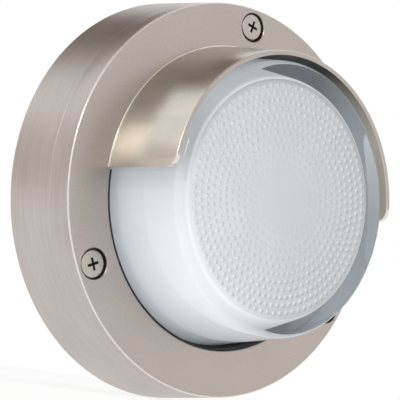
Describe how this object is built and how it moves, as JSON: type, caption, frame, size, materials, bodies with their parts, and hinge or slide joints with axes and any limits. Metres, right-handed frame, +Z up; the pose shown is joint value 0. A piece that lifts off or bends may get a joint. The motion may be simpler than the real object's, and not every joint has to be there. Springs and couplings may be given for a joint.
{
  "type": "nautical wall light",
  "caption": "Round surface wall light with a satin nickel ring, a half hood over a thick frosted glass lens, and cover screws that release the front for changing the lamp.",
  "frame": {"origin": "middle of the junction box slots, on the wall plane behind the middle of the light", "axes": "+Y into the wall, -Y out of the wall towards the viewer, +Z up with the hood above, +X to the viewer's right"},
  "size_m": [0.132, 0.0542, 0.132],
  "materials": {
    "housing_metal": "brushed satin nickel plate",
    "ring_metal": "brushed satin nickel plate",
    "hood_metal": "smooth satin nickel plate",
    "screw_nickel": "nickel plated steel",
    "lens_glass": "thick pressed glass, frosted inside",
    "lamp_quartz": "clear quartz glass",
    "black_rubber": "matte moulded rubber",
    "foam_rubber": "closed cell foam rubber",
    "silicone_bushing": "moulded silicone",
    "zinc_steel": "zinc plated",
    "insert_brass": "turned brass",
    "contact_bronze": "spring bronze strip",
    "plain_aluminium": "plain",
    "white_enamel": "white stove enamel",
    "holder_ceramic": "unglazed steatite",
    "block_nylon": "moulded nylon",
    "washer_nylon": "moulded nylon",
    "brown_sleeving": "silicone insulation",
    "blue_sleeving": "silicone insulation",
    "green_sleeving": "silicone insulation",
    "tinned_copper": "tin plated copper",
    "green_screw": "green passivated steel",
    "pin_nickel": "nickel wire",
    "tungsten": "drawn tungsten wire"
  },
  "bodies": {
    "housing": {"rear_housing": "housing_metal", "wall_gasket": "foam_rubber", "mounting_strap": "zinc_steel", "strap_screws": "zinc_steel", "sealing_washers": "black_rubber", "cable_grommet": "black_rubber", "seam_seal": "black_rubber", "threaded_inserts": "insert_brass", "reflector_pan": "white_enamel", "pan_screws": "zinc_steel", "lampholder_bracket": "zinc_steel", "bracket_rivets": "plain_aluminium", "lampholder_body": "holder_ceramic", "lampholder_contacts": "contact_bronze", "lampholder_screws": "zinc_steel", "terminal_block": "block_nylon", "terminal_sleeves": "insert_brass", "terminal_screws": "zinc_steel", "block_screws": "zinc_steel", "line_lead": "brown_sleeving", "neutral_lead": "blue_sleeving", "lead_bushings": "silicone_bushing", "earth_lead": "green_sleeving", "earth_ring_terminal": "tinned_copper", "earth_screw": "green_screw"},
    "cover": {"front_ring": "ring_metal", "hood": "hood_metal", "lens": "lens_glass", "lens_gasket": "black_rubber", "retaining_ring": "zinc_steel", "retainer_screws": "zinc_steel", "captive_washers": "washer_nylon"},
    "screw_top": {"cover_screw_top": "screw_nickel"},
    "screw_left": {"cover_screw_left": "screw_nickel"},
    "screw_right": {"cover_screw_right": "screw_nickel"},
    "lamp": {"lamp_glass": "lamp_quartz", "lamp_base": "holder_ceramic", "lamp_pins": "pin_nickel", "lamp_filament": "tungsten"}
  },
  "joints": [
    {"name": "cover_lift", "type": "slide", "parent": "housing", "child": "cover", "axis": [0, -1, 0], "range_m": [0, 0.012]},
    {"name": "screw_top_turn", "type": "hinge", "parent": "cover", "child": "screw_top", "pos_m": [0, -0.0244, 0.0575], "axis": [0, -1, 0], "continuous": true},
    {"name": "screw_left_turn", "type": "hinge", "parent": "cover", "child": "screw_left", "pos_m": [-0.0498, -0.0244, -0.02875], "axis": [0, -1, 0], "continuous": true},
    {"name": "screw_right_turn", "type": "hinge", "parent": "cover", "child": "screw_right", "pos_m": [0.0498, -0.0244, -0.02875], "axis": [0, -1, 0], "continuous": true},
    {"name": "lamp_unplug", "type": "slide", "parent": "housing", "child": "lamp", "axis": [1, 0, 0], "range_m": [0, 0.008]}
  ]
}
